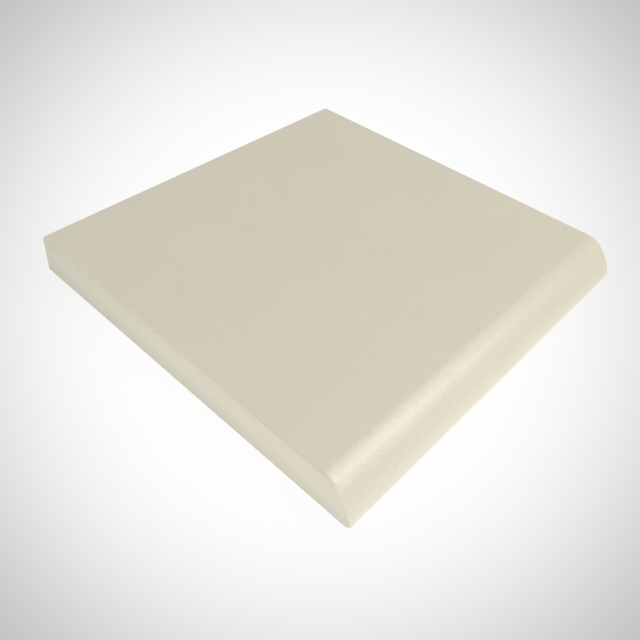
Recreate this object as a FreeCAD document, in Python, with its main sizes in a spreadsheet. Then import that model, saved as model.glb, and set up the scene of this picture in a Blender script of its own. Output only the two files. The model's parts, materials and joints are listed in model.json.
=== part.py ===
import FreeCAD, Part
import math
import os
import Sketcher

# A square vitrified tile with one edge rolled over into a bullnose, pressed and fired as one piece.
# X runs from the plain back edge to the nose, Y runs along the nose, and Z is up from the bed.
# The origin is in the bed's plane, under the middle of the tile's box.
# Lengths are in millimetres and angles in degrees.

SIZES = {
    "tile_length": 100.0,
    "tile_width": 100.0,
    "thickness": 9.8,
    "side_draft": 3.0,
    "nose_run": 7.9,
    "crown_radius": 5.3,
    "flank_radius": 13.9,
    "toe_radius": 1.4,
    "corner_radius": 1.0,
    "arris_radius": 0.5,
    "key_cell": 12.0,
    "key_rib": 3.0,
    "key_border": 6.0,
    "key_depth": 0.8,
    "key_draft": 30.0,
}

NODE = "bullnose_tile"
NEAR = 0.001

# Formulas of the sheet's cells that several features share.
LEAN = "Sizes.thickness * tan(Sizes.side_draft * 1deg)"
KEY_PITCH = "(Sizes.key_cell + Sizes.key_rib)"
KEY_ROWS = f"floor((Sizes.tile_length - 2 * Sizes.key_border + Sizes.key_rib) / {KEY_PITCH})"
KEY_COLUMNS = f"floor((Sizes.tile_width - 2 * Sizes.key_border + Sizes.key_rib) / {KEY_PITCH})"
KEY_TAPER = "Sizes.key_depth * tan(Sizes.key_draft * 1deg)"


def make_sheet(doc):
    """Put the driving dimensions into a sheet, one named cell to a row."""
    sheet = doc.addObject("Spreadsheet::Sheet", "Sizes")
    for row, (name, value) in enumerate(SIZES.items(), start=1):
        sheet.set(f"A{row}", name)
        sheet.set(f"B{row}", str(value))
        sheet.setAlias(f"B{row}", name)
    doc.recompute()
    return sheet


def reference(body, role):
    """The body's own reference plane or axis with this role."""
    return next(item for item in body.Origin.OriginFeatures if item.Role == role)


def new_sketch(body, name, role):
    """An empty sketch on one of the body's reference planes."""
    sketch = body.newObject("Sketcher::SketchObject", name)
    sketch.AttachmentSupport = [(reference(body, role), "")]
    sketch.MapMode = "FlatFace"
    return sketch


def point(across, up):
    """A point in a sketch's plane."""
    return FreeCAD.Vector(across, up, 0)


def arc(centre, radius, start, end):
    """An arc of a circle in a sketch's plane between two angles."""
    return Part.ArcOfCircle(Part.Circle(centre, FreeCAD.Vector(0, 0, 1), radius), start, end)


def bearing(start, end):
    """Angle of the line from one point to another in a sketch's plane."""
    return math.atan2(end.y - start.y, end.x - start.x)


def constrain(sketch, *constraint):
    """Add one constraint to a sketch."""
    return sketch.addConstraint(Sketcher.Constraint(*constraint))


def dimension(sketch, name, formula, *constraint):
    """Add a dimension to a sketch and tie it to a formula of the sheet's cells."""
    index = constrain(sketch, *constraint)
    sketch.renameConstraint(index, name)
    sketch.setExpression(f"Constraints.{name}", formula)


def closed_polygon(sketch, corners):
    """Straight lines through the corners in order and back to the first, joined end to end."""
    ends = corners[1:] + corners[:1]
    lines = [sketch.addGeometry(Part.LineSegment(start, end)) for start, end in zip(corners, ends)]
    for earlier, later in zip(lines, lines[1:] + lines[:1]):
        constrain(sketch, "Coincident", earlier, 2, later, 1)
    return lines


def nose_centres(sheet):
    """Centres of the nose's toe, flank and crown arcs, each tangent to the next.

    The toe stands on the bed and the crown hangs under the face, so both their centres are known.
    The flank's centre lies at the difference of the radii from each of them, on the tile's side.
    """
    toe = point(sheet.tile_length / 2 - sheet.toe_radius, sheet.toe_radius)
    crown = point(sheet.tile_length / 2 - sheet.nose_run, sheet.thickness - sheet.crown_radius)
    to_toe = sheet.flank_radius - sheet.toe_radius
    to_crown = sheet.flank_radius - sheet.crown_radius
    span = (crown - toe).Length
    along = (crown - toe) / span
    inward = point(-along.y, along.x)
    reach = (to_toe ** 2 - to_crown ** 2 + span ** 2) / (2 * span)
    flank = toe + along * reach + inward * math.sqrt(to_toe ** 2 - reach ** 2)
    return toe, flank, crown


def section_sketch(body, sheet):
    """The upright section across the nose: bed, three-centred nose, face and drafted back edge."""
    sketch = new_sketch(body, "section", "XZ_Plane")
    toe_centre, flank_centre, crown_centre = nose_centres(sheet)
    toe_turn = bearing(flank_centre, toe_centre)
    crown_turn = bearing(flank_centre, crown_centre)
    lean = sheet.thickness * math.tan(math.radians(sheet.side_draft))
    heel = point(-sheet.tile_length / 2, 0)
    shoulder = point(lean - sheet.tile_length / 2, sheet.thickness)
    foot = point(toe_centre.x, 0)
    brow = point(crown_centre.x, sheet.thickness)
    bed = sketch.addGeometry(Part.LineSegment(heel, foot))
    toe = sketch.addGeometry(arc(toe_centre, sheet.toe_radius, -math.pi / 2, toe_turn))
    flank = sketch.addGeometry(arc(flank_centre, sheet.flank_radius, toe_turn, crown_turn))
    crown = sketch.addGeometry(arc(crown_centre, sheet.crown_radius, crown_turn, math.pi / 2))
    face = sketch.addGeometry(Part.LineSegment(brow, shoulder))
    back = sketch.addGeometry(Part.LineSegment(shoulder, heel))
    for earlier, later in ((bed, toe), (toe, flank), (flank, crown), (crown, face)):
        constrain(sketch, "Tangent", earlier, 2, later, 1)
    constrain(sketch, "Coincident", face, 2, back, 1)
    constrain(sketch, "Coincident", back, 2, bed, 1)
    constrain(sketch, "Horizontal", bed)
    constrain(sketch, "Horizontal", face)
    constrain(sketch, "PointOnObject", bed, 1, -1)
    dimension(sketch, "heel", "Sizes.tile_length / 2", "DistanceX", bed, 1, -1, 1, -heel.x)
    dimension(sketch, "lean", LEAN, "DistanceX", back, 2, back, 1, lean)
    dimension(sketch, "rise", "Sizes.thickness", "DistanceY", back, 2, back, 1, sheet.thickness)
    dimension(sketch, "toe_radius", "Sizes.toe_radius", "Radius", toe, sheet.toe_radius)
    dimension(sketch, "flank_radius", "Sizes.flank_radius", "Radius", flank, sheet.flank_radius)
    dimension(sketch, "crown_radius", "Sizes.crown_radius", "Radius", crown, sheet.crown_radius)
    dimension(sketch, "foot", "Sizes.tile_length / 2 - Sizes.toe_radius", "DistanceX", -1, 1, toe, 1, foot.x)
    dimension(sketch, "brow", "Sizes.tile_length / 2 - Sizes.nose_run", "DistanceX", -1, 1, crown, 2, brow.x)
    return sketch


def press_bar(doc, body, sheet):
    """The section carried along the nose, left longer than the tile at both ends."""
    bar = body.newObject("PartDesign::Pad", "bar")
    bar.Profile = section_sketch(body, sheet)
    bar.SideType = "Symmetric"
    bar.setExpression("Length", "Sizes.tile_width + 2 * Sizes.thickness")
    doc.recompute()
    return bar


def trim_ends(doc, body, sheet):
    """Trim both ends to the die's drafted end walls, which meet the bed at the tile's width."""
    sketch = new_sketch(body, "end_wall", "YZ_Plane")
    slope = math.tan(math.radians(sheet.side_draft))
    below = -sheet.thickness
    above = 2 * sheet.thickness
    outside = sheet.tile_width / 2 + 2 * sheet.thickness
    low = point(sheet.tile_width / 2 - below * slope, below)
    high = point(sheet.tile_width / 2 - above * slope, above)
    corners = [low, point(outside, below), point(outside, above), high]
    floor, outer, ceiling, wall = closed_polygon(sketch, corners)
    constrain(sketch, "Horizontal", floor)
    constrain(sketch, "Vertical", outer)
    constrain(sketch, "Horizontal", ceiling)
    dimension(sketch, "below", "Sizes.thickness", "DistanceY", floor, 1, -1, 1, -below)
    dimension(sketch, "above", "2 * Sizes.thickness", "DistanceY", -1, 1, ceiling, 1, above)
    dimension(sketch, "outside", "Sizes.tile_width / 2 + 2 * Sizes.thickness",
              "DistanceX", -1, 1, floor, 2, outside)
    dimension(sketch, "low", f"Sizes.tile_width / 2 + {LEAN}", "DistanceX", -1, 1, floor, 1, low.x)
    dimension(sketch, "high", f"Sizes.tile_width / 2 - 2 * {LEAN}", "DistanceX", -1, 1, wall, 1, high.x)
    doc.recompute()
    trim = body.newObject("PartDesign::Pocket", "end_trim")
    trim.Profile = sketch
    trim.Type = "ThroughAll"
    trim.SideType = "Symmetric"
    doc.recompute()
    both = body.newObject("PartDesign::Mirrored", "both_ends")
    both.Originals = [trim]
    both.MirrorPlane = (reference(body, "XZ_Plane"), [""])
    body.Tip = both
    doc.recompute()
    return both


def edges_where(shape, test):
    """Names of a shape's edges that pass a test."""
    return [f"Edge{number}" for number, edge in enumerate(shape.Edges, start=1) if test(edge)]


def soften_edges(doc, body, sheet, tile):
    """Round the two square corners, then run one small arris round the face, the bed and the nose's ends."""
    half_length = sheet.tile_length / 2
    half_width = sheet.tile_width / 2

    def is_corner(edge):
        return abs(edge.BoundBox.ZLength - sheet.thickness) < NEAR

    def is_back_edge(edge):
        return edge.CenterOfMass.x < -half_length / 2 and edge.BoundBox.YLength > half_width

    corners = body.newObject("PartDesign::Fillet", "square_corners")
    corners.Base = (tile, edges_where(tile.Shape, is_corner))
    corners.setExpression("Radius", "Sizes.corner_radius")
    doc.recompute()
    arris = body.newObject("PartDesign::Fillet", "arris")
    arris.Base = (corners, edges_where(corners.Shape, is_back_edge))
    arris.setExpression("Radius", "Sizes.arris_radius")
    doc.recompute()
    return arris


def key_bed(doc, body):
    """Press a waffle of shallow drafted recesses into the bed, to key it into the adhesive.

    One recess is a low wedge that narrows upwards; it is repeated along both sides of the tile.
    """
    key = body.newObject("PartDesign::SubtractiveWedge", "key")
    key.AttachmentSupport = [(reference(body, "XY_Plane"), "")]
    key.MapMode = "FlatFace"
    key.AttachmentOffset = FreeCAD.Placement(FreeCAD.Vector(), FreeCAD.Rotation(FreeCAD.Vector(1, 0, 0), 90))
    key.setExpression("AttachmentOffset.Base.x", f"-({KEY_ROWS} - 1) * {KEY_PITCH} / 2")
    key.setExpression("AttachmentOffset.Base.y", f"-({KEY_COLUMNS} - 1) * {KEY_PITCH} / 2")
    for side in ("X", "Z"):
        key.setExpression(f"{side}min", "-Sizes.key_cell / 2")
        key.setExpression(f"{side}max", "Sizes.key_cell / 2")
        key.setExpression(f"{side}2min", f"{KEY_TAPER} - Sizes.key_cell / 2")
        key.setExpression(f"{side}2max", f"Sizes.key_cell / 2 - {KEY_TAPER}")
    key.Ymin = 0
    key.setExpression("Ymax", "Sizes.key_depth")
    doc.recompute()
    keys = body.newObject("PartDesign::LinearPattern", "keys")
    keys.Originals = [key]
    keys.Direction = (reference(body, "X_Axis"), [""])
    keys.setExpression("Length", f"({KEY_ROWS} - 1) * {KEY_PITCH}")
    keys.setExpression("Occurrences", KEY_ROWS)
    keys.Direction2 = (reference(body, "Y_Axis"), [""])
    keys.setExpression("Length2", f"({KEY_COLUMNS} - 1) * {KEY_PITCH}")
    keys.setExpression("Occurrences2", KEY_COLUMNS)
    body.Tip = keys
    doc.recompute()
    return keys


def check_document(doc, body, steps):
    """Stop if any object failed, a cut took nothing away or the tile isn't one sound solid."""
    for item in doc.Objects:
        if "Invalid" in item.State or "Error" in item.State:
            raise RuntimeError(f"{item.Name} failed: {item.State}")
    for earlier, later in zip(steps, steps[1:]):
        if later.Shape.Volume >= earlier.Shape.Volume:
            raise RuntimeError(f"{later.Name} cut nothing away")
    if body.Shape.isNull() or not body.Shape.isValid() or len(body.Shape.Solids) != 1:
        raise RuntimeError(f"{body.Name} isn't one sound solid")


doc = FreeCAD.newDocument(NODE)
sheet = make_sheet(doc)
body = doc.addObject("PartDesign::Body", NODE)
body.Label = NODE
body.Placement = FreeCAD.Placement()
bar = press_bar(doc, body, sheet)
trimmed = trim_ends(doc, body, sheet)
softened = soften_edges(doc, body, sheet, trimmed)
keyed = key_bed(doc, body)
check_document(doc, body, [bar, trimmed, softened, keyed])
os.makedirs("parts", exist_ok=True)
body.Shape.exportStep(f"parts/{body.Label}.step")
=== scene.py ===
import json
import math

import bmesh
import bpy
import numpy as np
from mathutils import Matrix, Vector


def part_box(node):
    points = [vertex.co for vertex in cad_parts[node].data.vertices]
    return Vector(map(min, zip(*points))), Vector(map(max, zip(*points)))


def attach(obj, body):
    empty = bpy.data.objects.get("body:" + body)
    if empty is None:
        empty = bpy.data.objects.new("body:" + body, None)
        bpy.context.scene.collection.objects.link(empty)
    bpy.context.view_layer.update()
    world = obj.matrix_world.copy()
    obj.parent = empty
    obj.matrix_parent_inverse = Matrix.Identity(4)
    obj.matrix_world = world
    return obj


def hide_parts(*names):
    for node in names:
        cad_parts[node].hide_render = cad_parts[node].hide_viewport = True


# A square vitrified tile with one edge rolled over into a bullnose, standing on its bed in a pale studio.
# X runs from the plain back edge to the nose, Y runs along the nose, and Z is up from the bed.
# Lengths are in metres, and angles in radians unless a comment says degrees.

bl_info = {
    "name": "Bullnose Tile",
    "version": (1, 0, 0),
    "blender": (4, 5, 0),
    "location": "View3D > Sidebar > Tile",
    "description": "A pressed full-body bullnose tile and the studio that shows it",
    "category": "Add Mesh",
}

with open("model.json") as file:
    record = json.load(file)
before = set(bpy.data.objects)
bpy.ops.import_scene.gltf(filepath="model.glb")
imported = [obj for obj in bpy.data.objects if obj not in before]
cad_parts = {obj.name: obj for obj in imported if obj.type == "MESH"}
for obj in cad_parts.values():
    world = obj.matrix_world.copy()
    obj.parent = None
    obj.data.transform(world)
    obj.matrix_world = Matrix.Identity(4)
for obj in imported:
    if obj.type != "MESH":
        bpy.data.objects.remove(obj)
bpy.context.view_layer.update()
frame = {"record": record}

NODE = "bullnose_tile"
BODY = "root"
SLOT = "vitrified_body"
TILE_LOW, TILE_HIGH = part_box(NODE)
RECORD_COLOUR = next(row["base_color"] for row in frame["record"]["materials"] if row["slot"] == SLOT)
# The bare body is a little deeper in hue than the record's colour, which includes its pale sheen.
BODY_DEPTH = (1.0, 0.992, 0.968)
BODY_COLOUR = [colour * depth for colour, depth in zip(RECORD_COLOUR, BODY_DEPTH)]

MM = 0.001
SIDE_DRAFT = math.radians(3.0)
ARRIS_RADIUS = 0.5 * MM

# The lower arris takes this much off the width that the drafted end walls would have at the bed.
HEEL_LOSS = ARRIS_RADIUS * (1 / math.cos(SIDE_DRAFT) + math.tan(SIDE_DRAFT) - 1)

UP = np.array([0.0, 0.0, 1.0])
DOWN = -UP

# How finely each stretch of the surface is divided.
ARRIS_STEPS = 6
CORNER_STEPS = 8
CROWN_STEPS = 18
FLANK_STEPS = 14
TOE_TOP_STEPS = 6
TOE_UNDER_STEPS = 8
KEY_WALL_STEPS = 5
KEY_FLOOR_STEPS = 4
BORDER_STEPS = 2
# Places of the grid lines down a wall, as shares of its height from the upper arris to the lower one.
WALL_SHARES = (0.04, 0.14, 0.32, 0.5, 0.68, 0.86, 0.96)

# Where the upper and the lower half of the surface meet on the toe, as an angle above level.
TOE_SEAM = math.radians(-20.0)
# Slope of the nose at which the painted highlight along the toe's edge ends.
TOE_REACH = math.radians(24.0)
# Strength of the painted highlight on the small arrises along the face and the bed, and round the nose's
# proud ends.
ARRIS_HIGHLIGHT = 0.3
NOSE_END_HIGHLIGHT = 1.6
# Fall of the normal's upward part, from 1 on the face, over which the painted highlight round the nose's
# ends grows to full.
NOSE_END_TURN = 0.02
# The soft shoulder at each edge of a recess.
KEY_SHOULDER = 0.12 * MM
# Points nearer than this are one point.
WELD = 0.001 * MM

# The fired relief: seed and number of its waves, their range of lengths, and the margin where they fade.
WAVE_SEED = 7
WAVE_COUNT = 14
WAVE_LENGTHS = (7 * MM, 32 * MM)
WAVE_MARGIN = 4 * MM

# Numbers of a Mix node's colour sockets, since its sockets for other kinds have the same names.
MIX_FIRST = 6
MIX_SECOND = 7
MIX_RESULT = 2

# Levels of detail in each noise of the finishes.
CLOUD_DETAIL = 3.0
GRAIN_DETAIL = 2.0
COARSE_DETAIL = 1.0
BREAK_DETAIL = 3.0
DIE_DETAIL = 2.0
# Values of the noise at which clouds, grain and the breaks in a rubbed edge start and are full.
CLOUD_RANGE = (0.25, 0.75)
GRAIN_RANGE = (0.2, 0.8)
BREAK_RANGE = (0.35, 0.7)
# How many times larger than the grain the surface's coarse dips are.
COARSE_RATIO = 3.5
# Distances from a speck's middle at which it starts and is full, in cells of its mesh.
SPECK_RANGE = (0.45, 0.2)

# Sizes of the marks on the face, the nose and the walls, and the share of cells that hold a speck.
FACE_GRAIN = 0.6 * MM
FACE_CLOUD = 16 * MM
FACE_SPECK = 0.55 * MM
FACE_SPECK_SHARE = 0.07
DIE_MARK = 0.5 * MM
# The die's marks are drawn out along Z by shrinking that axis.
DIE_STRETCH = (1.0, 1.0, 0.06)
# Length of the breaks in an arris's painted highlight, and the least of it that is left in them.
HIGHLIGHT_BREAK = 2.5 * MM
HIGHLIGHT_LEAST = 0.55
# Heights above the bed over which painted shade darkens the walls, slowly at first and then at the heel.
FOOT_HEIGHT = 7.0 * MM
HEEL_HEIGHT = 1.2 * MM
# Shades of the body, as factors, that the clouds of the face go between.
FACE_SHADES = (0.99, 1.01)
# Stains and painted light of the face and the walls: how strong each one is, and the shade of the body that
# it goes to.
# The foot and heel are painted shade, and the lightening of the arrises is a painted highlight.
GRAIN_STAIN = (0.05, 0.8)
SPECK_STAIN = (0.1, 0.6)
FOOT_PAINTED_SHADE = (0.7, 0.8)
HEEL_PAINTED_SHADE = (0.5, 0.7)
HIGHLIGHT_PAINT = (0.4, 1.4)
# How far the grain, the die's marks and the painted highlight's mask move the roughness.
GRAIN_DULLING = 0.04
DIE_DULLING = 0.04
HIGHLIGHT_DULLING = 0.05
# Depth of the die's marks beside the grain's, and the height of a full step of both.
DIE_DEPTH = 0.25
FACE_BUMP = 0.07 * MM
# The glassy phase that closes a vitrified surface bends light more than common glass does.
GLASSY_IOR = 1.7

# The same for the bed, where the rollers leave their wash.
BED_GRAIN = 0.5 * MM
BED_CLOUD = 20 * MM
BED_SPECK = 0.8 * MM
BED_SPECK_SHARE = 0.12
BED_SHADES = (0.95, 1.02)
BED_SPECK_STAIN = (0.2, 0.6)
BED_DULLING = 0.1
BED_BUMP = 0.03 * MM
# Heights on the bed at which the wash starts and is full, the length of its breaks and its strength.
WASH_HEIGHTS = (0.4 * MM, 0.05 * MM)
WASH_BREAK = 5 * MM
WASH_STRENGTH = 0.6

# Width of the camera's sensor in millimetres, and the nearest distance that the camera sees.
SENSOR_WIDTH = 36.0
NEAREST_VIEW = 10 * MM

# How far the floor reaches to each side.
FLOOR_REACH = 6.0
# How far the floor lies below the bed, so that no two faces coincide.
FLOOR_DROP = 0.05 * MM
# Share of the floor's own paleness in what is seen of it; the rest is its lit surface, with the shadow.
FLOOR_PALENESS = 0.95
# The same share in the light that the floor throws on the tile.
FLOOR_GLOW_SHARE = 0.2
# Brightness of the light that the floor throws on the tile, where it is lit most and past that patch.
NEAR_GLOW = 5.2
FAR_GLOW = 1.2
# The middle of the patch of floor that is lit most, and how far it reaches.
GLOW_CENTRE = (0.14, -0.055, 0.0)
GLOW_REACH = 0.25
# The painted pool of light on the floor, as cosines of the angle off its axis where it starts and stops
# fading.
POOL_START = 0.975
POOL_END = 0.79

# Soft lamps that face the tile: azimuth and elevation in degrees, distance, width, height and radiance.
LAMPS = {
    "key": (-32.0, 12.0, 0.5, 0.28, 0.28, 2.7),
    "corner": (49.0, 27.0, 0.3, 0.07, 0.2, 1.6),
    "window": (123.0, 41.5, 0.8, 0.38, 0.56, 4.3),
    "skylight": (162.0, 61.0, 0.9, 0.5, 0.5, 2.25),
    "fill": (300.0, 65.0, 0.9, 0.5, 0.5, 0.6),
}


class TileSizes(bpy.types.PropertyGroup):
    """Sizes of the pressed tile; the frame gives the ones that its box shows."""

    tile_length: bpy.props.FloatProperty(
        name="Length", description="From the back edge's foot to the tip of the nose",
        default=2 * TILE_HIGH.x, unit="LENGTH")
    tile_width: bpy.props.FloatProperty(
        name="Width", description="Along the nose, where the end walls meet the bed",
        default=2 * (TILE_HIGH.y + HEEL_LOSS), unit="LENGTH")
    thickness: bpy.props.FloatProperty(
        name="Thickness", description="From the bed to the face",
        default=TILE_HIGH.z - TILE_LOW.z, unit="LENGTH")
    side_draft: bpy.props.FloatProperty(
        name="Side draft", description="Lean of the back and end walls that lets the tile leave its die",
        default=SIDE_DRAFT, subtype="ANGLE")
    nose_run: bpy.props.FloatProperty(
        name="Nose run", description="From the brow, where the face turns down, to the tip of the nose",
        default=7.9 * MM, unit="LENGTH")
    crown_radius: bpy.props.FloatProperty(
        name="Crown radius", description="Radius of the nose below the face",
        default=5.3 * MM, unit="LENGTH")
    flank_radius: bpy.props.FloatProperty(
        name="Flank radius", description="Radius of the long middle stretch of the nose",
        default=13.9 * MM, unit="LENGTH")
    toe_radius: bpy.props.FloatProperty(
        name="Toe radius", description="Radius of the nose where it turns under to the bed",
        default=1.4 * MM, unit="LENGTH")
    corner_radius: bpy.props.FloatProperty(
        name="Corner radius", description="Radius of the two upright corners at the back",
        default=1.0 * MM, unit="LENGTH")
    arris_radius: bpy.props.FloatProperty(
        name="Arris radius", description="Radius of the small rounding of the face, bed and nose ends",
        default=ARRIS_RADIUS, unit="LENGTH")
    key_cell: bpy.props.FloatProperty(
        name="Recess", description="Side of one square recess in the bed",
        default=12.0 * MM, unit="LENGTH")
    key_rib: bpy.props.FloatProperty(
        name="Rib", description="Width of the rib between two recesses",
        default=3.0 * MM, unit="LENGTH")
    key_border: bpy.props.FloatProperty(
        name="Border", description="Least width of the plain border round the recesses",
        default=6.0 * MM, unit="LENGTH")
    key_depth: bpy.props.FloatProperty(
        name="Recess depth", description="How deep the recesses are pressed into the bed",
        default=0.8 * MM, unit="LENGTH")
    key_draft: bpy.props.FloatProperty(
        name="Recess draft", description="Lean of a recess's walls",
        default=math.radians(30.0), subtype="ANGLE")
    relief: bpy.props.FloatProperty(
        name="Face relief", description="Typical height of the slow waves that firing leaves in the face",
        default=0.006 * MM, unit="LENGTH", precision=6)


class TileFinish(bpy.types.PropertyGroup):
    """Colours and gloss of the fired body."""

    body_colour: bpy.props.FloatVectorProperty(
        name="Body", description="Colour of the fired body",
        default=BODY_COLOUR, subtype="COLOR", min=0.0, max=1.0)
    wash_colour: bpy.props.FloatVectorProperty(
        name="Kiln wash", description="Chalky trace that the kiln's rollers leave on the bed",
        default=(0.72, 0.70, 0.62), subtype="COLOR", min=0.0, max=1.0)
    satin: bpy.props.FloatProperty(
        name="Satin roughness", description="Roughness of the face and the walls",
        default=0.35, min=0.0, max=1.0)
    bare: bpy.props.FloatProperty(
        name="Bed roughness", description="Roughness of the bed",
        default=0.75, min=0.0, max=1.0)


class StageSettings(bpy.types.PropertyGroup):
    """Camera, floor and even light of the studio."""

    azimuth: bpy.props.FloatProperty(
        name="Azimuth", description="Turn of the camera round the tile, from looking along +Y",
        default=math.radians(40.9455), subtype="ANGLE")
    elevation: bpy.props.FloatProperty(
        name="Elevation", description="Height of the camera above level",
        default=math.radians(44.1133), subtype="ANGLE")
    roll: bpy.props.FloatProperty(
        name="Roll", description="Tilt of the camera about its line of sight",
        default=math.radians(3.5253), subtype="ANGLE")
    distance: bpy.props.FloatProperty(
        name="Distance", description="From the camera to the point that it looks at",
        default=155.0047 * MM, unit="LENGTH")
    target: bpy.props.FloatVectorProperty(
        name="Target", description="Point on the floor that the camera looks at",
        default=(9.4096 * MM, -14.712 * MM, 0.0), subtype="TRANSLATION")
    lens: bpy.props.FloatProperty(
        name="Lens", description="Focal length in millimetres on a 36 mm sensor",
        default=37.212)
    pool_colour: bpy.props.FloatVectorProperty(
        name="Floor in the light", description="Colour of the floor about the tile",
        default=(0.995, 0.995, 0.995), subtype="COLOR", min=0.0, max=1.0)
    far_colour: bpy.props.FloatVectorProperty(
        name="Floor in the distance", description="Colour of the floor and the backdrop away from the tile",
        default=(0.5, 0.5, 0.5), subtype="COLOR", min=0.0, max=1.0)
    dome: bpy.props.FloatProperty(
        name="Dome", description="Strength of the even light from all round",
        default=0.442, min=0.0)


def smooth_step(value):
    """0 below 0 and 1 above 1; between them three times the square less twice the cube."""
    share = np.clip(value, 0, 1)
    return share * share * (3 - 2 * share)


def arc(centre, radius, start, end, steps):
    """Points and normals of an arc: the centre plus the radius times (cos, sin) of evenly spaced angles."""
    angles = np.linspace(start, end, steps + 1)
    normals = np.stack([np.cos(angles), np.sin(angles)], axis=1)
    return centre + radius * normals, normals


def fan(first, last, steps):
    """Unit vectors turned evenly from one array of unit vectors to another.

    Each pair turns along its great circle: the sines of the turn left and the turn made are the
    weights of the two, over the sine of the whole turn.
    """
    turn = np.arccos(np.clip(np.sum(first * last, axis=1), -1, 1))[:, None, None]
    share = np.linspace(0, 1, steps + 1)[None, :, None]
    mixed = np.sin((1 - share) * turn) * first[:, None] + np.sin(share * turn) * last[:, None]
    return mixed / np.sin(turn)


def wall_inset(height, sizes):
    """How far inside the tile's edge the arris's centre lies when it is this high above the bed."""
    return sizes.arris_radius / math.cos(sizes.side_draft) + height * math.tan(sizes.side_draft)


def nose_centres(sizes):
    """Centres of the toe, flank and crown arcs in the upright section.

    The toe stands on the bed and the crown hangs under the face. The flank touches both from outside,
    so its centre lies where two circles about their centres, of the differences of the radii, cross.
    """
    tip = sizes.tile_length / 2
    toe = np.array([tip - sizes.toe_radius, sizes.toe_radius])
    crown = np.array([tip - sizes.nose_run, sizes.thickness - sizes.crown_radius])
    to_toe = sizes.flank_radius - sizes.toe_radius
    to_crown = sizes.flank_radius - sizes.crown_radius
    span = np.linalg.norm(crown - toe)
    along = (crown - toe) / span
    inward = np.array([-along[1], along[0]])
    reach = (to_toe ** 2 - to_crown ** 2 + span ** 2) / (2 * span)
    flank = toe + along * reach + inward * math.sqrt(to_toe ** 2 - reach ** 2)
    return toe, flank, crown


def key_count(side, sizes):
    """How many recesses fit along one side of the bed inside its plain border."""
    pitch = sizes.key_cell + sizes.key_rib
    return math.floor((side - 2 * sizes.key_border + sizes.key_rib) / pitch)


def key_taper(sizes):
    """How far a recess's wall leans in over the recess's depth."""
    return sizes.key_depth * math.tan(sizes.key_draft)


def key_lines(side, sizes):
    """Grid lines across the bed: close over the recesses' walls, wider on their floors and ribs."""
    pitch = sizes.key_cell + sizes.key_rib
    count = key_count(side, sizes)
    centres = (np.arange(count) - (count - 1) / 2) * pitch
    wall_top = sizes.key_cell / 2 - key_taper(sizes) - KEY_SHOULDER
    wall_foot = sizes.key_cell / 2 + KEY_SHOULDER
    floor = np.linspace(0, wall_top, KEY_FLOOR_STEPS + 1)
    wall = np.linspace(wall_top, wall_foot, KEY_WALL_STEPS + 1)
    half = np.concatenate([floor[1:], wall[1:]])
    cell = np.concatenate([-half[::-1], [0.0], half, [pitch / 2]])
    lines = (centres[:, None] + cell[None, :]).ravel()
    return np.concatenate([[centres[0] - pitch / 2], lines])


def key_step(place, side, sizes):
    """Smooth step across one pair of a recess's walls: 1 over its floor, 0 over the ribs and the border."""
    pitch = sizes.key_cell + sizes.key_rib
    half_count = key_count(side, sizes) / 2
    cell_number = np.clip(np.floor(place / pitch + half_count), 0, 2 * half_count - 1)
    offset = np.abs(place - (cell_number + 0.5 - half_count) * pitch)
    rise = (sizes.key_cell / 2 + KEY_SHOULDER - offset) / (key_taper(sizes) + 2 * KEY_SHOULDER)
    return smooth_step(rise)


def bed_chain(sizes):
    """The section's lower half from the heel to the toe's seam: the flat bed, then the toe's underside."""
    toe = nose_centres(sizes)[0]
    heel = wall_inset(sizes.arris_radius, sizes) - sizes.tile_length / 2
    corner = heel + sizes.corner_radius - sizes.arris_radius
    lines = key_lines(sizes.tile_length, sizes)
    back = np.linspace(corner, lines[0], BORDER_STEPS + 1)
    front = np.linspace(lines[-1], toe[0], BORDER_STEPS + 1)
    flat = np.concatenate([[heel], back[:-1], lines, front[1:-1]])
    bed_points = np.stack([flat, np.zeros_like(flat)], axis=1)
    bed_normals = np.tile([0.0, -1.0], (len(flat), 1))
    toe_points, toe_normals = arc(toe, sizes.toe_radius, -math.pi / 2, TOE_SEAM, TOE_UNDER_STEPS)
    return np.concatenate([bed_points, toe_points]), np.concatenate([bed_normals, toe_normals])


def face_chain(sizes, length):
    """The section's upper half from the shoulder to the toe's seam, with a given number of points.

    The flat face takes the points that the nose's three tangent arcs leave over.
    """
    toe, flank, crown = nose_centres(sizes)
    crown_turn = math.atan2(*(crown - flank)[::-1])
    toe_turn = math.atan2(*(toe - flank)[::-1])
    crown_points, crown_normals = arc(crown, sizes.crown_radius, math.pi / 2, crown_turn, CROWN_STEPS)
    flank_points, flank_normals = arc(flank, sizes.flank_radius, crown_turn, toe_turn, FLANK_STEPS)
    toe_points, toe_normals = arc(toe, sizes.toe_radius, toe_turn, TOE_SEAM, TOE_TOP_STEPS)
    nose_points = np.concatenate([crown_points, flank_points[1:], toe_points[1:]])
    nose_normals = np.concatenate([crown_normals, flank_normals[1:], toe_normals[1:]])
    shoulder = wall_inset(sizes.thickness - sizes.arris_radius, sizes) - sizes.tile_length / 2
    corner = shoulder + sizes.corner_radius - sizes.arris_radius
    flat = np.linspace(corner, crown[0], length - len(nose_points))[:-1]
    flat = np.concatenate([[shoulder], flat])
    face_points = np.stack([flat, np.full_like(flat, sizes.thickness)], axis=1)
    face_normals = np.tile([0.0, 1.0], (len(flat), 1))
    return np.concatenate([face_points, nose_points]), np.concatenate([face_normals, nose_normals])


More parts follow.
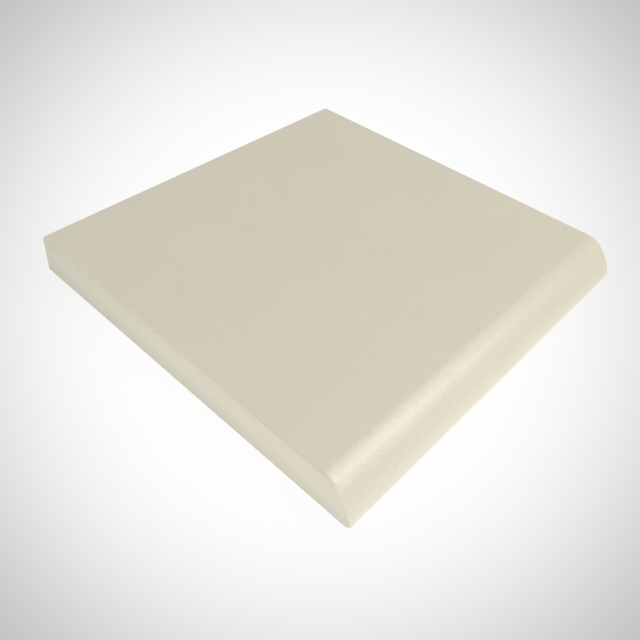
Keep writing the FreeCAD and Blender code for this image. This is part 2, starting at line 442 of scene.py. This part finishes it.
def cross_lines(points, normals, sizes):
    """Places along Y of a sheet's grid lines, one row to each point of its chain.

    The inner lines are those of the bed's recesses. The outermost line is where the end wall's arris
    starts, and the next lies on the axis of the upright corner.
    """
    arris_height = points[:, 1] - sizes.arris_radius * normals[:, 1]
    outer = sizes.tile_width / 2 - wall_inset(arris_height, sizes)
    axis = outer - (sizes.corner_radius - sizes.arris_radius)
    lines = key_lines(sizes.tile_width, sizes)
    border = np.linspace(lines[-1], axis, BORDER_STEPS + 1)[1:]
    half = np.concatenate([border, outer[None]]).T
    inner = np.tile(lines, (len(points), 1))
    return np.concatenate([-half[:, ::-1], inner, half], axis=1)


def relief_waves(x, y, sizes):
    """Slow uneven waves: a sum of plane waves of seeded directions, lengths and phases.

    The sum is scaled so that its typical height is the relief.
    """
    draw = np.random.default_rng(WAVE_SEED)
    turn = draw.uniform(0, 2 * math.pi, WAVE_COUNT)
    number = 2 * math.pi / draw.uniform(*WAVE_LENGTHS, WAVE_COUNT)
    phase = draw.uniform(0, 2 * math.pi, WAVE_COUNT)
    along = x[..., None] * np.cos(turn) + y[..., None] * np.sin(turn)
    return sizes.relief * math.sqrt(2 / WAVE_COUNT) * np.cos(along * number + phase).sum(axis=-1)


def fade(inside, width):
    """0 on an edge, rising by a smooth step to 1 at this distance inside it."""
    return smooth_step(inside / width)


def upper_sheet(points, normals, lines, sizes):
    """Face and nose: the upper chain carried along Y, moved along its normal by the fired relief.

    The relief runs over the section's own length, so it follows the nose round, and fades to nothing
    at the sheet's borders.
    """
    steps = np.linalg.norm(np.diff(points, axis=0), axis=1)
    run = np.concatenate([[0.0], np.cumsum(steps)])
    edge = np.minimum(run, run[-1] - run)[:, None]
    edge = np.minimum(edge, lines[:, -1:] - np.abs(lines))
    run_grid = np.broadcast_to(run[:, None], lines.shape)
    lift = relief_waves(run_grid, lines, sizes) * fade(edge, WAVE_MARGIN)
    x = points[:, :1] + normals[:, :1] * lift
    z = points[:, 1:] + normals[:, 1:] * lift
    return np.stack([x, lines, z], axis=-1)


def lower_sheet(points, lines, sizes):
    """Bed and toe's underside: the lower chain carried along Y, with the recesses pressed up into it.

    A recess's height is its depth times the product of two smooth steps, one across each pair of walls.
    """
    x = np.broadcast_to(points[:, :1], lines.shape)
    press = key_step(x, sizes.tile_length, sizes) * key_step(lines, sizes.tile_width, sizes)
    flat = points[:, 1:] < WELD
    z = points[:, 1:] + np.where(flat, sizes.key_depth * press, 0.0)
    return np.stack([x, lines, z], axis=-1)


def end_cores(points, normals, side, sizes):
    """Centres of the arris that rolls between a chain's surface and the drafted end wall on one side."""
    centres = points - sizes.arris_radius * normals
    y = side * (sizes.tile_width / 2 - wall_inset(centres[:, 1], sizes))
    return np.stack([centres[:, 0], y, centres[:, 1]], axis=1)


def corner_cores(height, turns, side, sizes):
    """Centres of the arris round an upright corner: a quarter circle about the corner's axis."""
    inset = wall_inset(height, sizes)
    swing = sizes.corner_radius - sizes.arris_radius
    x = inset + swing - sizes.tile_length / 2 - swing * np.cos(turns)
    y = side * (sizes.tile_width / 2 - inset - swing + swing * np.sin(turns))
    return np.stack([x, y, np.full_like(turns, height)], axis=1)


def leaning(flat, sizes):
    """Outward normals of drafted walls that face the given level directions."""
    return flat * math.cos(sizes.side_draft) + UP * math.sin(sizes.side_draft)


def spread(vector, count):
    """One vector repeated for a number of stations."""
    return np.tile(vector, (count, 1))


def upright(normals):
    """Normals of the section as vectors in space."""
    return np.stack([normals[:, 0], np.zeros(len(normals)), normals[:, 1]], axis=1)


def band_stations(upper, lower, upper_lines, lower_lines, sizes):
    """Stations of the wall band along its path, from the toe round three sides to the toe again.

    Each station has the centre of the upper arris, the centre of the lower arris, the normal that the
    upper arris starts from, the wall's normal, and the normal that the lower arris ends at.
    """
    top = sizes.thickness - sizes.arris_radius
    bottom = sizes.arris_radius
    turns = np.linspace(math.pi / 2, 0, CORNER_STEPS + 1)[1:-1]

    def end_wall(side):
        """Stations along one drafted end wall: the arrises keep to the chains' own points."""
        cores = [end_cores(*chain, side, sizes)[1:] for chain in (upper, lower)]
        count = len(cores[0])
        wall = leaning(spread([0.0, side, 0.0], count), sizes)
        return [*cores, upright(upper[1])[1:], wall, upright(lower[1])[1:]]

    def corner(side):
        """Stations round one upright corner: a quarter turn of the wall's level direction."""
        cores = [corner_cores(height, turns, side, sizes) for height in (top, bottom)]
        level = np.stack([-np.cos(turns), side * np.sin(turns), np.zeros_like(turns)], axis=1)
        return [*cores, spread(UP, len(turns)), leaning(level, sizes), spread(DOWN, len(turns))]

    def back_wall():
        """Stations along the straight back wall: the sheets' own lines between the corners."""
        places = []
        for height, lines in ((top, upper_lines), (bottom, lower_lines)):
            y = lines[0, 1:-1]
            x = np.full_like(y, wall_inset(height, sizes) - sizes.tile_length / 2)
            places.append(np.stack([x, y, np.full_like(y, height)], axis=1))
        count = len(places[0])
        wall = leaning(spread([-1.0, 0.0, 0.0], count), sizes)
        return [*places, spread(UP, count), wall, spread(DOWN, count)]

    runs = [
        [part[::-1] for part in end_wall(-1)],
        corner(-1),
        back_wall(),
        [part[::-1] for part in corner(1)],
        end_wall(1),
    ]
    return [np.concatenate(parts) for parts in zip(*runs)]


def wall_band(stations, sizes):
    """Arrises and walls: a profile of arc, straight wall and arc carried along the band's path.

    Each arc is its centre plus the arris radius times a fan of normals, and the wall is the straight
    line between the two arcs, divided more closely beside them.
    """
    upper_core, lower_core, upper_normal, wall_normal, lower_normal = stations
    upper_arc = upper_core[:, None] + sizes.arris_radius * fan(upper_normal, wall_normal, ARRIS_STEPS)
    lower_arc = lower_core[:, None] + sizes.arris_radius * fan(wall_normal, lower_normal, ARRIS_STEPS)
    share = np.array(WALL_SHARES)[None, :, None]
    wall = upper_arc[:, -1:] * (1 - share) + lower_arc[:, :1] * share
    return np.concatenate([upper_arc, wall, lower_arc], axis=1)


def band_marks(stations):
    """Painted highlight of the arrises and nearness to a wall across the band's profile.

    The painted highlight is half a sine wave over each arris, and on the upper one it grows where the nose
    turns down from level. The wall's mark grows to 1 over the upper arris and stays there down to the bed.
    """
    share = np.linspace(0, 1, ARRIS_STEPS + 1)
    swell = np.sin(math.pi * share)
    turn = fade(1 - stations[2][:, 2:], NOSE_END_TURN)
    upper = swell * (ARRIS_HIGHLIGHT + (NOSE_END_HIGHLIGHT - ARRIS_HIGHLIGHT) * turn)
    plain = np.zeros((len(turn), len(WALL_SHARES)))
    lower = spread(swell * ARRIS_HIGHLIGHT, len(turn))
    wall = np.concatenate([share, plain[0] + 1, np.ones_like(share)])
    return [np.concatenate([upper, plain, lower], axis=1), spread(wall, len(turn))]


def sheet_marks(normals, columns):
    """Painted highlight along the toe's edge: nearness of a sheet's points to it, highest where the
    section's normal is level.

    No part of a sheet is a wall.
    """
    slope = np.abs(np.arcsin(normals[:, 1]))
    toe = np.tile(fade(TOE_REACH - slope, TOE_REACH)[:, None], (1, columns))
    return [toe, np.zeros_like(toe)]


def corner_fan(height, level, side, sizes):
    """The flat quarter disc of a sheet's corner: lines from the corner's axis to the arris's start."""
    turns = np.linspace(math.pi / 2, 0, CORNER_STEPS + 1)
    rim = corner_cores(height, turns, side, sizes)
    rim[:, 2] = level
    inset = wall_inset(height, sizes) + sizes.corner_radius - sizes.arris_radius
    axis = [inset - sizes.tile_length / 2, side * (sizes.tile_width / 2 - inset), level]
    return np.stack([spread(axis, len(rim)), rim], axis=1)


def grid_faces(rows, columns, first, skip=()):
    """Corner numbers of a grid's four-sided faces, counted from a first point, less the skipped cells."""
    number = first + np.arange(rows * columns).reshape(rows, columns)
    faces = np.stack([number[:-1, :-1], number[1:, :-1], number[1:, 1:], number[:-1, 1:]], axis=-1)
    keep = np.ones(faces.shape[:2], bool)
    for row, column in skip:
        keep[row, column] = False
    return faces[keep]


def tile_patches(sizes):
    """The tile's surface as grids: face and nose, bed, wall band and the four flat corner fans.

    Each entry is a grid of points, the cells that it leaves out, the number of its material and its marks:
    the painted highlight on the arrises and the toe, and nearness to the walls.
    """
    lower = bed_chain(sizes)
    upper = face_chain(sizes, len(lower[0]))
    upper_lines = cross_lines(*upper, sizes)
    lower_lines = cross_lines(*lower, sizes)
    stations = band_stations(upper, lower, upper_lines, lower_lines, sizes)
    corners = [(0, 0), (0, -1)]
    columns = upper_lines.shape[1]
    patches = [
        (upper_sheet(*upper, upper_lines, sizes), corners, 0, sheet_marks(upper[1], columns)),
        (lower_sheet(lower[0], lower_lines, sizes), corners, 1, sheet_marks(lower[1], columns)),
        (wall_band(stations, sizes), [], 0, band_marks(stations)),
    ]
    unmarked = [np.zeros((CORNER_STEPS + 1, 2))] * 2
    for side in (-1, 1):
        top = sizes.thickness - sizes.arris_radius
        patches.append((corner_fan(top, sizes.thickness, side, sizes), [], 0, unmarked))
        patches.append((corner_fan(sizes.arris_radius, 0.0, side, sizes), [], 1, unmarked))
    return patches


def sewn_mesh(name, patches):
    """One closed mesh of all the patches, with touching borders sewn together and faces turned outwards."""
    points, faces, materials, marks, first = [], [], [], [], 0
    for grid, skip, material, patch_marks in patches:
        rows, columns = grid.shape[:2]
        points.append(grid.reshape(-1, 3))
        faces.append(grid_faces(rows, columns, first, skip))
        materials.append(np.full(len(faces[-1]), material))
        marks.append(np.stack([mark.ravel() for mark in patch_marks]))
        first += rows * columns
    mesh = bpy.data.meshes.new(name)
    mesh.from_pydata(np.concatenate(points), [], np.concatenate(faces))
    mesh.polygons.foreach_set("material_index", np.concatenate(materials).astype(np.int32))
    for mark_name, values in zip(("arris", "wall"), np.concatenate(marks, axis=1)):
        attached = mesh.attributes.new(mark_name, "FLOAT", "POINT")
        attached.data.foreach_set("value", values.astype(np.float32))
    sewing = bmesh.new()
    sewing.from_mesh(mesh)
    bmesh.ops.remove_doubles(sewing, verts=sewing.verts, dist=WELD)
    loose = [vertex for vertex in sewing.verts if not vertex.link_faces]
    bmesh.ops.delete(sewing, geom=loose, context="VERTS")
    bmesh.ops.recalc_face_normals(sewing, faces=sewing.faces)
    if not all(edge.is_manifold for edge in sewing.edges):
        raise RuntimeError(f"{name}: the sewn surface isn't closed")
    sewing.to_mesh(mesh)
    sewing.free()
    mesh.shade_smooth()
    return mesh


def add_node(tree, kind, **settings):
    """A new node in a tree; the settings are the node's own properties."""
    node = tree.nodes.new(kind)
    for name, value in settings.items():
        setattr(node, name, value)
    return node


def feed(tree, socket, value):
    """Give an input a link from another node's output, or a plain value."""
    if isinstance(value, bpy.types.NodeSocket):
        tree.links.new(value, socket)
    else:
        socket.default_value = value


def fed_node(tree, kind, *values, **settings):
    """A new node whose inputs take links or plain values in their order."""
    node = add_node(tree, kind, **settings)
    for socket, value in zip(node.inputs, values):
        feed(tree, socket, value)
    return node


def maths(tree, operation, *values):
    """Output of a Math node fed with links or plain numbers."""
    return fed_node(tree, "ShaderNodeMath", *values, operation=operation).outputs["Value"]


def vector_maths(tree, operation, *values):
    """Output of a Vector Math node fed with links or plain vectors."""
    node = fed_node(tree, "ShaderNodeVectorMath", *values, operation=operation)
    return node.outputs["Value" if operation in {"DOT_PRODUCT", "DISTANCE"} else "Vector"]


def mix_shaders(tree, share, first, second):
    """Output of a Mix Shader node that goes from the first shader to the second."""
    return fed_node(tree, "ShaderNodeMixShader", share, first, second).outputs["Shader"]


def mix_colours(tree, share, first, second):
    """Output of a Mix node that goes from the first colour to the second."""
    node = add_node(tree, "ShaderNodeMix", data_type="RGBA")
    feed(tree, node.inputs["Factor"], share)
    feed(tree, node.inputs[MIX_FIRST], first)
    feed(tree, node.inputs[MIX_SECOND], second)
    return node.outputs[MIX_RESULT]


def noise(tree, place, size, detail):
    """A noise texture's value, about 0.5 on average, with features of about this size in metres."""
    node = add_node(tree, "ShaderNodeTexNoise")
    feed(tree, node.inputs["Vector"], place)
    feed(tree, node.inputs["Scale"], maths(tree, "DIVIDE", 1.0, size))
    feed(tree, node.inputs["Detail"], detail)
    return node.outputs["Fac"]


def ramp(tree, value, low, high):
    """A smooth step of a value: 0 below the low end, 1 above the high end."""
    node = add_node(tree, "ShaderNodeMapRange", interpolation_type="SMOOTHSTEP")
    feed(tree, node.inputs["Value"], value)
    feed(tree, node.inputs["From Min"], low)
    feed(tree, node.inputs["From Max"], high)
    return node.outputs["Result"]


def blend(tree, share, low, high):
    """A value that goes from low to high as the share goes from 0 to 1."""
    node = add_node(tree, "ShaderNodeMapRange")
    feed(tree, node.inputs["Value"], share)
    feed(tree, node.inputs["To Min"], low)
    feed(tree, node.inputs["To Max"], high)
    return node.outputs["Result"]


def new_group(name, inputs, outputs):
    """A shader node group with named sockets.

    Gives its tree, the outputs of its input node and the inputs of its output node.
    """
    tree = bpy.data.node_groups.new(name, "ShaderNodeTree")
    for direction, sockets in (("INPUT", inputs), ("OUTPUT", outputs)):
        for socket, kind in sockets.items():
            tree.interface.new_socket(socket, in_out=direction, socket_type=f"NodeSocket{kind}")
    return tree, add_node(tree, "NodeGroupInput").outputs, add_node(tree, "NodeGroupOutput").inputs


def place_group(tree, group, **values):
    """A group in a material with its own values; gives its outputs."""
    node = add_node(tree, "ShaderNodeGroup", node_tree=group)
    for name, value in values.items():
        feed(tree, node.inputs[name.replace("_", " ").title()], value)
    return node.outputs


def fired_grain_group():
    """Fired body: slow clouds of tone, and a fine grain with the small dips that it leaves."""
    inputs = {"Place": "Vector", "Grain Size": "Float", "Cloud Size": "Float"}
    outputs = {"Cloud": "Float", "Grain": "Float", "Height": "Float"}
    tree, given, result = new_group("fired_grain", inputs, outputs)
    coarse_size = maths(tree, "MULTIPLY", given["Grain Size"], COARSE_RATIO)
    cloud = noise(tree, given["Place"], given["Cloud Size"], CLOUD_DETAIL)
    grain = noise(tree, given["Place"], given["Grain Size"], GRAIN_DETAIL)
    coarse = noise(tree, given["Place"], coarse_size, COARSE_DETAIL)
    feed(tree, result["Cloud"], ramp(tree, cloud, *CLOUD_RANGE))
    feed(tree, result["Grain"], ramp(tree, grain, *GRAIN_RANGE))
    feed(tree, result["Height"], maths(tree, "ADD", grain, coarse))
    return tree


def body_specks_group():
    """Specks of coarser grain pressed into the body: round spots in a share of the cells of a mesh."""
    inputs = {"Place": "Vector", "Speck Size": "Float", "Share": "Float"}
    tree, given, result = new_group("body_specks", inputs, {"Mask": "Float"})
    cells = add_node(tree, "ShaderNodeTexVoronoi")
    feed(tree, cells.inputs["Vector"], given["Place"])
    feed(tree, cells.inputs["Scale"], maths(tree, "DIVIDE", 1.0, given["Speck Size"]))
    pick = add_node(tree, "ShaderNodeSeparateColor")
    feed(tree, pick.inputs["Color"], cells.outputs["Color"])
    chosen = maths(tree, "LESS_THAN", pick.outputs["Red"], given["Share"])
    spot = ramp(tree, cells.outputs["Distance"], *SPECK_RANGE)
    feed(tree, result["Mask"], maths(tree, "MULTIPLY", chosen, spot))
    return tree


def broken_mask_group():
    """A mask broken by noise that leaves at least a share of it: the painted highlight along the arrises,
    and the kiln wash on the bed's ribs.
    """
    inputs = {"Place": "Vector", "Edge": "Float", "Break Size": "Float", "Least": "Float"}
    tree, given, result = new_group("broken_mask", inputs, {"Mask": "Float"})
    broken = ramp(tree, noise(tree, given["Place"], given["Break Size"], BREAK_DETAIL), *BREAK_RANGE)
    left = blend(tree, broken, given["Least"], 1.0)
    feed(tree, result["Mask"], maths(tree, "MULTIPLY", given["Edge"], left))
    return tree


def shaded(colour, level):
    """A colour made darker or lighter by a factor, as a node's colour value."""
    return (*[min(1.0, channel * level) for channel in colour], 1.0)


def new_material(name):
    """A node material; gives it, its tree and its principled shader."""
    material = bpy.data.materials.new(name)
    material.use_nodes = True
    return material, material.node_tree, material.node_tree.nodes["Principled BSDF"]


def attribute(tree, name):
    """Value of one of the mesh's own point attributes."""
    return add_node(tree, "ShaderNodeAttribute", attribute_name=name).outputs["Fac"]


def part_of(tree, place, axis):
    """One coordinate of a place."""
    node = add_node(tree, "ShaderNodeSeparateXYZ")
    feed(tree, node.inputs["Vector"], place)
    return node.outputs[axis]


def bump(tree, shader, height, distance):
    """Small relief in a shader's normal; the distance is the height of a full step in metres."""
    node = add_node(tree, "ShaderNodeBump")
    feed(tree, node.inputs["Distance"], distance)
    feed(tree, node.inputs["Height"], height)
    feed(tree, shader.inputs["Normal"], node.outputs["Normal"])


def clouded(tree, cloud, body, shades):
    """The body's colour, going from its first shade to its second as the clouds do."""
    first, second = [shaded(body, level) for level in shades]
    return mix_colours(tree, cloud, first, second)


def toward_shade(tree, colour, mask, body, strength, level):
    """A colour that goes towards a shade of the body by a mask times a strength; it serves for stains and
    for painted light.
    """
    return mix_colours(tree, maths(tree, "MULTIPLY", mask, strength), colour, shaded(body, level))


def satin_body(finish, groups):
    """Face, nose and walls: a satin fired body with clouds, fine grain, sparse specks and a painted
    highlight on the arrises and the toe.

    The walls carry painted shade, darker towards the bed and most of all at the heel, and faint upright
    marks of the die, from noise stretched along Z. Each stain and painted layer lies over the ones before
    it.
    """
    material, tree, shader = new_material("satin_body")
    body = finish.body_colour
    place = add_node(tree, "ShaderNodeTexCoord").outputs["Object"]
    height = part_of(tree, place, "Z")
    wall = attribute(tree, "wall")
    edge = attribute(tree, "arris")
    grain = place_group(tree, groups["grain"], place=place, grain_size=FACE_GRAIN, cloud_size=FACE_CLOUD)
    specks = place_group(tree, groups["specks"], place=place, speck_size=FACE_SPECK, share=FACE_SPECK_SHARE)
    # Painted highlight along the arrises and the toe, broken by noise; it lightens the body colour and
    # dulls the gloss.
    painted_glint = place_group(
        tree, groups["edge"], place=place, edge=edge, break_size=HIGHLIGHT_BREAK, least=HIGHLIGHT_LEAST)
    die_place = vector_maths(tree, "MULTIPLY", place, DIE_STRETCH)
    marks = maths(tree, "MULTIPLY", noise(tree, die_place, DIE_MARK, DIE_DETAIL), wall)
    # Painted shade: the walls darken towards the bed, and most of all at the heel.
    foot_shade = maths(tree, "MULTIPLY", ramp(tree, height, FOOT_HEIGHT, 0.0), wall)
    heel = maths(tree, "MULTIPLY", ramp(tree, height, HEEL_HEIGHT, 0.0), wall)
    stains_and_painted_light = (
        (grain["Grain"], GRAIN_STAIN),
        (specks["Mask"], SPECK_STAIN),
        (foot_shade, FOOT_PAINTED_SHADE),
        (heel, HEEL_PAINTED_SHADE),
        (painted_glint["Mask"], HIGHLIGHT_PAINT),
    )
    colour = clouded(tree, grain["Cloud"], body, FACE_SHADES)
    for mask, amounts in stains_and_painted_light:
        colour = toward_shade(tree, colour, mask, body, *amounts)
    feed(tree, shader.inputs["Base Color"], colour)
    gloss = blend(tree, grain["Grain"], finish.satin - GRAIN_DULLING, finish.satin + GRAIN_DULLING)
    for mask, dulling in ((marks, DIE_DULLING), (painted_glint["Mask"], HIGHLIGHT_DULLING)):
        gloss = maths(tree, "ADD", gloss, maths(tree, "MULTIPLY", mask, dulling))
    feed(tree, shader.inputs["Roughness"], gloss)
    relief = maths(tree, "ADD", grain["Height"], maths(tree, "MULTIPLY", marks, DIE_DEPTH))
    bump(tree, shader, relief, FACE_BUMP)
    feed(tree, shader.inputs["IOR"], GLASSY_IOR)
    return material


def bare_bed(finish, groups):
    """Bed: the same body, unpolished, with a broken chalky wash where it rides on the kiln's rollers."""
    material, tree, shader = new_material("bare_bed")
    body = finish.body_colour
    place = add_node(tree, "ShaderNodeTexCoord").outputs["Object"]
    grain = place_group(tree, groups["grain"], place=place, grain_size=BED_GRAIN, cloud_size=BED_CLOUD)
    specks = place_group(tree, groups["specks"], place=place, speck_size=BED_SPECK, share=BED_SPECK_SHARE)
    riding = ramp(tree, part_of(tree, place, "Z"), *WASH_HEIGHTS)
    washed = place_group(tree, groups["edge"], place=place, edge=riding, break_size=WASH_BREAK, least=0.0)
    tone = clouded(tree, grain["Cloud"], body, BED_SHADES)
    spotted = toward_shade(tree, tone, specks["Mask"], body, *BED_SPECK_STAIN)
    wash = maths(tree, "MULTIPLY", washed["Mask"], WASH_STRENGTH)
    feed(tree, shader.inputs["Base Color"], mix_colours(tree, wash, spotted, (*finish.wash_colour, 1.0)))
    gloss = blend(tree, grain["Grain"], finish.bare - BED_DULLING, finish.bare + BED_DULLING)
    feed(tree, shader.inputs["Roughness"], gloss)
    bump(tree, shader, grain["Height"], BED_BUMP)
    return material


class BULLNOSE_OT_tile_body(bpy.types.Operator):
    """Make the tile as one closed surface with its satin and bare finishes"""

    bl_idname = "bullnose.tile_body"
    bl_label = "Tile Body"

    def execute(self, context):
        sizes = context.scene.tile_sizes
        finish = context.scene.tile_finish
        mesh = sewn_mesh("tile_body", tile_patches(sizes))
        groups = {"grain": fired_grain_group(), "specks": body_specks_group(), "edge": broken_mask_group()}
        mesh.materials.append(satin_body(finish, groups))
        mesh.materials.append(bare_bed(finish, groups))
        tile = bpy.data.objects.new("tile_body", mesh)
        context.scene.collection.objects.link(tile)
        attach(tile, BODY)
        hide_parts(NODE)
        return {"FINISHED"}


def look_from(azimuth, elevation, roll):
    """Turn of a camera or lamp that looks back at its target from an azimuth and elevation."""
    back = Vector((math.sin(azimuth) * math.cos(elevation),
                   -math.cos(azimuth) * math.cos(elevation),
                   math.sin(elevation)))
    level = Vector((math.cos(azimuth), math.sin(azimuth), 0.0))
    upright_way = back.cross(level)
    right = math.cos(roll) * level + math.sin(roll) * upright_way
    up = math.cos(roll) * upright_way - math.sin(roll) * level
    return Matrix((right, up, back)).transposed()


def add_camera(scene, stage):
    """The camera at the viewing angle, looking at its target on the floor."""
    camera = bpy.data.objects.new("camera", bpy.data.cameras.new("camera"))
    camera.data.lens = stage.lens
    camera.data.sensor_width = SENSOR_WIDTH
    camera.data.clip_start = NEAREST_VIEW
    turn = look_from(stage.azimuth, stage.elevation, stage.roll)
    place = Vector(stage.target) + turn.col[2] * stage.distance
    camera.matrix_world = Matrix.Translation(place) @ turn.to_4x4()
    scene.collection.objects.link(camera)
    scene.camera = camera


def add_lamp(scene, name, azimuth, elevation, distance, width, height, radiance):
    """A soft lamp that faces the tile; its power follows from the size and the brightness of its face."""
    lamp = bpy.data.lights.new(name, "AREA")
    lamp.shape = "RECTANGLE"
    lamp.size = width
    lamp.size_y = height
    lamp.energy = radiance * math.pi * width * height
    turn = look_from(math.radians(azimuth), math.radians(elevation), 0.0)
    holder = bpy.data.objects.new(name, lamp)
    holder.matrix_world = Matrix.Translation(turn.col[2] * distance) @ turn.to_4x4()
    holder.visible_camera = False
    scene.collection.objects.link(holder)


def seen_rays(tree):
    """1 for camera, glossy and transmission rays, which see a pale surround, and 0 for the rest."""
    path = add_node(tree, "ShaderNodeLightPath")
    seen = maths(tree, "MAXIMUM", path.outputs["Is Camera Ray"], path.outputs["Is Glossy Ray"])
    return maths(tree, "MAXIMUM", seen, path.outputs["Is Transmission Ray"])


def floor_material(stage):
    """A pale floor with a painted pool of light about the tile, which fades with the angle off the pool's
    axis.

    What is seen is mostly the floor's own paleness, so that it stays white, with enough of its lit
    surface mixed in to keep the tile's shadow. The light that it throws on the tile is strongest from a
    patch before the tile's near corner, as from a floor that is lit well beyond white there. From
    below, the floor is clear, so that the tile's bed can be looked at.
    """
    material = bpy.data.materials.new("pale_floor")
    material.use_nodes = True
    tree = material.node_tree
    tree.nodes.clear()
    place = add_node(tree, "ShaderNodeTexCoord").outputs["Object"]
    turn = look_from(stage.azimuth, stage.elevation, 0.0)
    source = Vector(stage.target) + turn.col[2] * stage.distance
    ray = vector_maths(tree, "NORMALIZE", vector_maths(tree, "SUBTRACT", place, source))
    off_axis = vector_maths(tree, "DOT_PRODUCT", ray, -turn.col[2])
    # Painted pool of light: the floor's colour fades from the pool's colour to the far colour.
    pool = ramp(tree, off_axis, POOL_END, POOL_START)
    colour = mix_colours(tree, pool, (*stage.far_colour, 1.0), (*stage.pool_colour, 1.0))
    seen = seen_rays(tree)
    lit = add_node(tree, "ShaderNodeBsdfDiffuse")
    feed(tree, lit.inputs["Color"], colour)
    pale = add_node(tree, "ShaderNodeEmission")
    feed(tree, pale.inputs["Color"], colour)
    near = ramp(tree, vector_maths(tree, "DISTANCE", place, GLOW_CENTRE), GLOW_REACH, 0.0)
    feed(tree, pale.inputs["Strength"], blend(tree, seen, blend(tree, near, FAR_GLOW, NEAR_GLOW), 1.0))
    paleness = blend(tree, seen, FLOOR_GLOW_SHARE, FLOOR_PALENESS)
    mixed = mix_shaders(tree, paleness, lit.outputs["BSDF"], pale.outputs["Emission"])
    below = add_node(tree, "ShaderNodeNewGeometry").outputs["Backfacing"]
    clear = add_node(tree, "ShaderNodeBsdfTransparent").outputs["BSDF"]
    output = add_node(tree, "ShaderNodeOutputMaterial")
    feed(tree, output.inputs["Surface"], mix_shaders(tree, below, mixed, clear))
    return material


def add_floor(scene, stage):
    """The level floor that the tile stands on, a hair below the bed."""
    mesh = bpy.data.meshes.new("floor")
    ends = np.array([-FLOOR_REACH, FLOOR_REACH])
    x, y = np.meshgrid(ends, ends, indexing="ij")
    points = np.stack([x, y, np.full_like(x, -FLOOR_DROP)], axis=-1).reshape(-1, 3)
    mesh.from_pydata(points, [], grid_faces(2, 2, 0))
    mesh.materials.append(floor_material(stage))
    floor = bpy.data.objects.new("floor", mesh)
    scene.collection.objects.link(floor)


def add_surround(scene, stage):
    """The studio round the tile: an even dome of light, seen as a backdrop of the far floor's colour."""
    world = bpy.data.worlds.new("studio")
    world.use_nodes = True
    tree = world.node_tree
    dome = tree.nodes["Background"]
    feed(tree, dome.inputs["Strength"], stage.dome)
    feed(tree, dome.inputs["Color"], (1.0, 1.0, 1.0, 1.0))
    backdrop = add_node(tree, "ShaderNodeBackground")
    feed(tree, backdrop.inputs["Color"], (*stage.far_colour, 1.0))
    studio = mix_shaders(tree, seen_rays(tree), dome.outputs["Background"], backdrop.outputs["Background"])
    feed(tree, tree.nodes["World Output"].inputs["Surface"], studio)
    scene.world = world


class BULLNOSE_OT_stage(bpy.types.Operator):
    """Make the floor, the surround, the lamps and the camera"""

    bl_idname = "bullnose.stage"
    bl_label = "Stage"

    def execute(self, context):
        scene = context.scene
        stage = scene.tile_stage
        scene.view_settings.view_transform = "Standard"
        add_camera(scene, stage)
        add_floor(scene, stage)
        add_surround(scene, stage)
        for name, lamp in LAMPS.items():
            add_lamp(scene, name, *lamp)
        return {"FINISHED"}


class BULLNOSE_PT_tile(bpy.types.Panel):
    """Sidebar panel that lists the tile's pieces and their settings"""

    bl_label = "Bullnose Tile"
    bl_space_type = "VIEW_3D"
    bl_region_type = "UI"
    bl_category = "Tile"

    def draw(self, context):
        for settings in (context.scene.tile_sizes, context.scene.tile_finish, context.scene.tile_stage):
            box = self.layout.box()
            for name in settings.bl_rna.properties.keys():
                if name not in ("rna_type", "name"):
                    box.prop(settings, name)
        for operator in (BULLNOSE_OT_tile_body, BULLNOSE_OT_stage):
            self.layout.operator(operator.bl_idname)


CLASSES = (TileSizes, TileFinish, StageSettings, BULLNOSE_OT_tile_body, BULLNOSE_OT_stage, BULLNOSE_PT_tile)


def register():
    for item in CLASSES:
        bpy.utils.register_class(item)
    bpy.types.Scene.tile_sizes = bpy.props.PointerProperty(type=TileSizes)
    bpy.types.Scene.tile_finish = bpy.props.PointerProperty(type=TileFinish)
    bpy.types.Scene.tile_stage = bpy.props.PointerProperty(type=StageSettings)


def unregister():
    del bpy.types.Scene.tile_stage
    del bpy.types.Scene.tile_finish
    del bpy.types.Scene.tile_sizes
    for item in reversed(CLASSES):
        bpy.utils.unregister_class(item)


def main():
    register()
    bpy.ops.bullnose.tile_body()
    bpy.ops.bullnose.stage()


if __name__ == "__main__":
    main()
